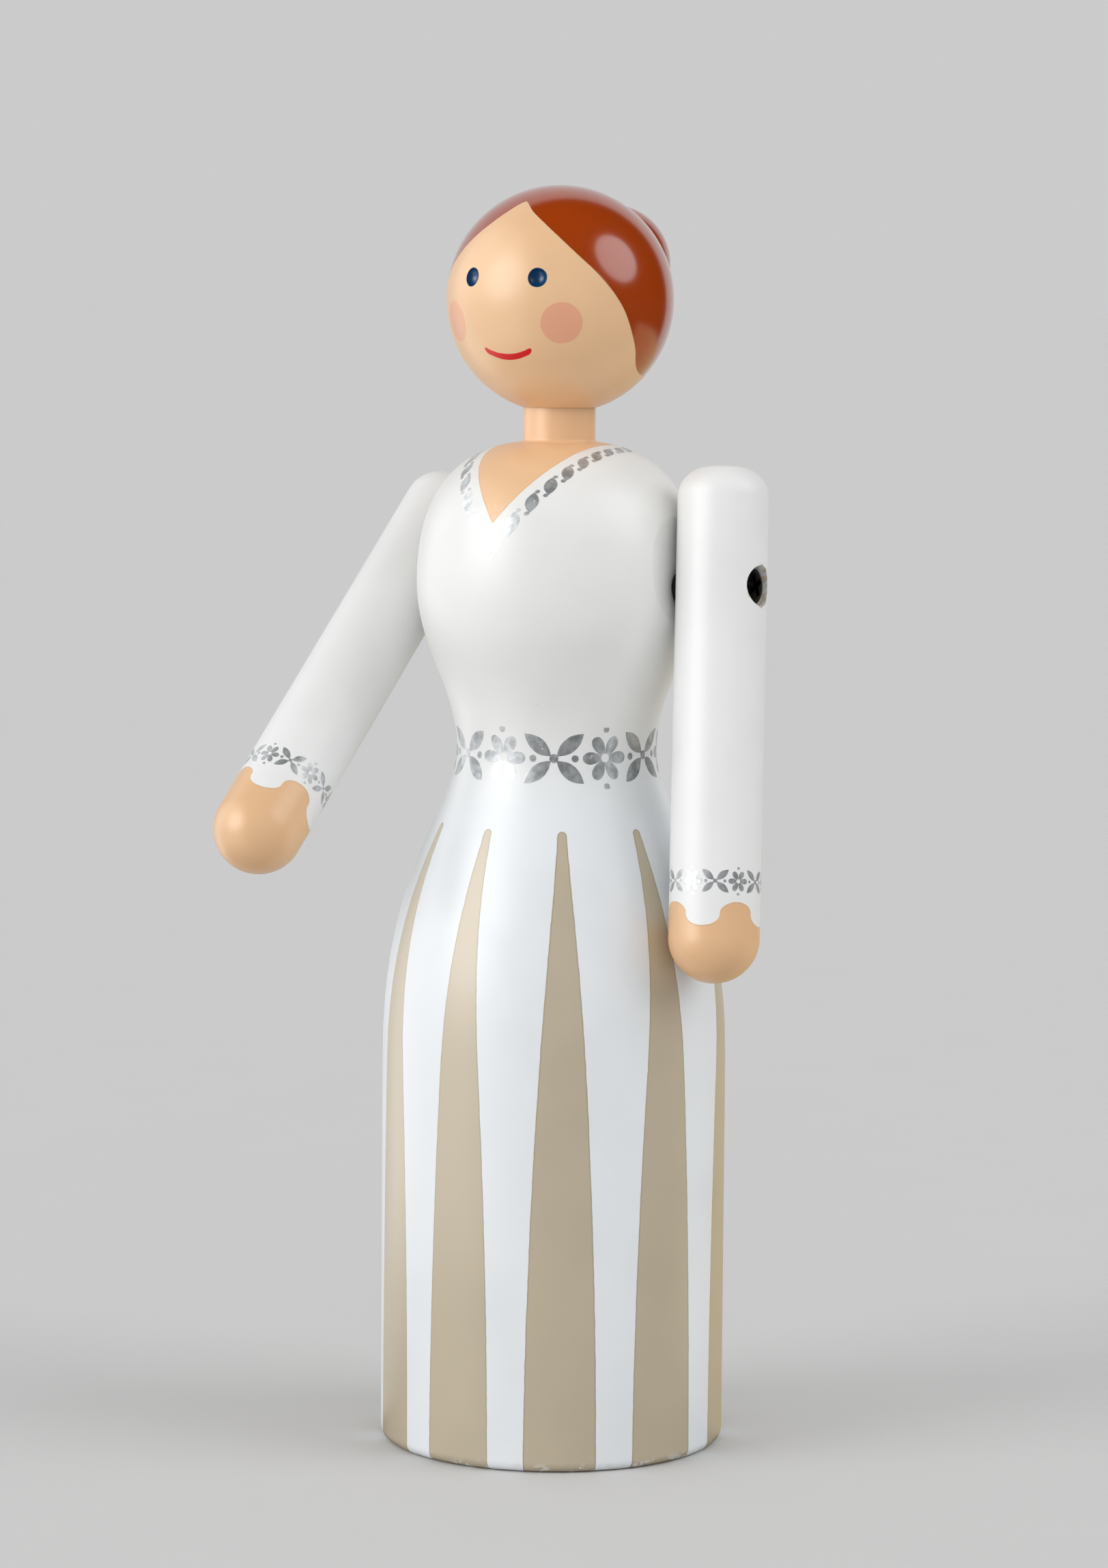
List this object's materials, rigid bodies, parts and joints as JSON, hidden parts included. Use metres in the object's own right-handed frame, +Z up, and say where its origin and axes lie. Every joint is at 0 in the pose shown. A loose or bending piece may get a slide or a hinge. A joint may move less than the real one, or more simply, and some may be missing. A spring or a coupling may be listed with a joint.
{
  "type": "wooden figurine",
  "caption": "Turned and painted wooden doll in a long dress, with a ball head that turns on a neck dowel, a hair bun, and dowel arms that swing on screws.",
  "frame": {"origin": "centre of the flat base that the skirt stands on", "axes": "+Z up along the body's turning axis, the face looks along -Y, +X is the figure's left"},
  "size_m": [0.0687, 0.0629, 0.175],
  "materials": {
    "white_paint": "glossy white paint on turned wood",
    "skin_paint": "glossy skin-coloured paint on turned wood",
    "hair_paint": "glossy auburn paint on turned wood",
    "black_steel": "blackened",
    "black_rubber": "matt"
  },
  "bodies": {
    "body": {"body": "white_paint", "neck_dowel": "skin_paint", "left_pivot_screw": "black_steel", "right_pivot_screw": "black_steel", "left_friction_washer": "black_rubber", "right_friction_washer": "black_rubber"},
    "head": {"head": "skin_paint", "hair_bun": "hair_paint"},
    "left_arm": {"left_arm": "white_paint"},
    "right_arm": {"right_arm": "white_paint"}
  },
  "joints": [
    {"name": "head_turn", "type": "hinge", "parent": "body", "child": "head", "pos_m": [0, 0, 0.15928], "axis": [0, 0, 1], "range_deg": [-30, 30]},
    {"name": "left_arm_swing", "type": "hinge", "parent": "body", "child": "left_arm", "pos_m": [0.02535, 0.00125, 0.1205], "axis": [-0.9977, 0, -0.0679], "continuous": true},
    {"name": "right_arm_swing", "type": "hinge", "parent": "body", "child": "right_arm", "pos_m": [-0.02535, 0.00125, 0.1205], "axis": [-0.9977, 0, 0.0679], "continuous": true}
  ]
}
